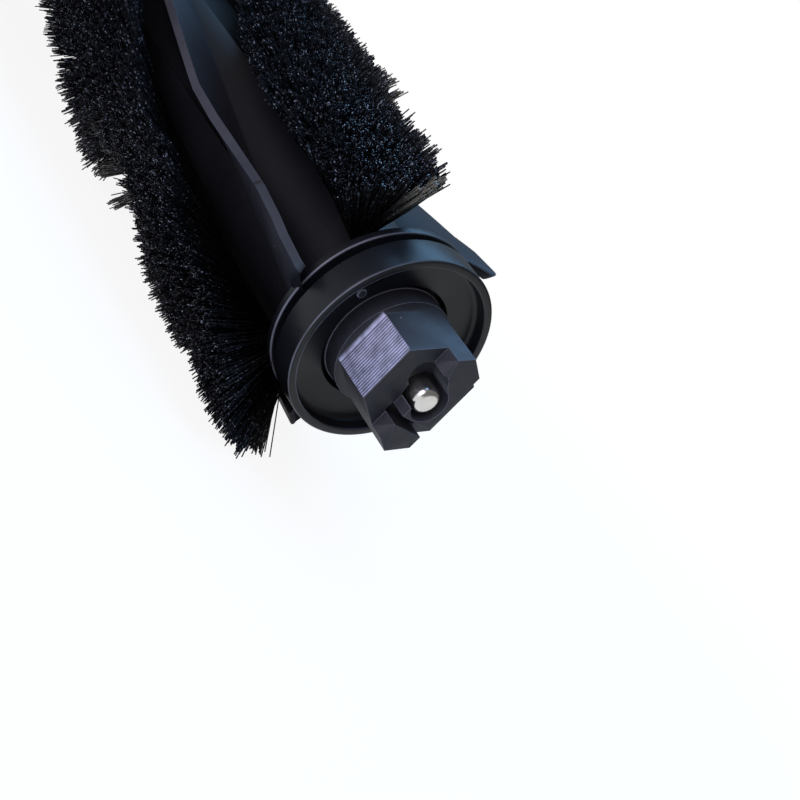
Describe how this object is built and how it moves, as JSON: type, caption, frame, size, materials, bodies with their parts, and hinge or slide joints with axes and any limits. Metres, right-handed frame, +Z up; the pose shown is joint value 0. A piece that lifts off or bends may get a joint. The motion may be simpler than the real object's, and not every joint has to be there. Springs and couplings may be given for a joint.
{
  "type": "robot vacuum roller brush",
  "caption": "Roller brush with curled rubber blades and dense bristle rows in a V, cupped end caps, a hexagon bearing bush on a steel pin and a square drive shank.",
  "frame": {"origin": "on the roller's axis, in the plane of the bearing end cup's rim, where the bush's hexagon begins", "axes": "+Y along the roller, from the bearing end to the drive end; +Z up as it lies on its bristle rows"},
  "size_m": [0.044, 0.1781, 0.0438],
  "materials": {
    "core_plastic": "satin black moulding",
    "cap_plastic": "satin black moulding",
    "bush_plastic": "satin dark grey moulding",
    "spine_plastic": "matt black",
    "blade_rubber": "smooth dark grey rubber",
    "bristle_nylon": "black nylon filament",
    "steel": "bright ground steel"
  },
  "bodies": {
    "roller": {"roller_core": "core_plastic", "bearing_end_cap": "cap_plastic", "drive_end_cap": "cap_plastic", "axle_pin": "steel", "thrust_washer": "steel", "rubber_blade_a_near": "blade_rubber", "rubber_blade_a_far": "blade_rubber", "rubber_blade_b_near": "blade_rubber", "rubber_blade_b_far": "blade_rubber", "rubber_blade_c_near": "blade_rubber", "rubber_blade_c_far": "blade_rubber", "bristle_spine_a_near": "spine_plastic", "bristle_spine_a_far": "spine_plastic", "bristle_spine_b_near": "spine_plastic", "bristle_spine_b_far": "spine_plastic", "bristle_spine_c_near": "spine_plastic", "bristle_spine_c_far": "spine_plastic", "bristle_row_a_near": "bristle_nylon", "bristle_row_a_far": "bristle_nylon", "bristle_row_b_near": "bristle_nylon", "bristle_row_b_far": "bristle_nylon", "bristle_row_c_near": "bristle_nylon", "bristle_row_c_far": "bristle_nylon"},
    "bush": {"bearing_bush": "bush_plastic"}
  },
  "joints": [
    {"name": "bush_spin", "type": "hinge", "parent": "roller", "child": "bush", "pos_m": [0, 0, 0], "axis": [0, 1, 0], "continuous": true}
  ]
}
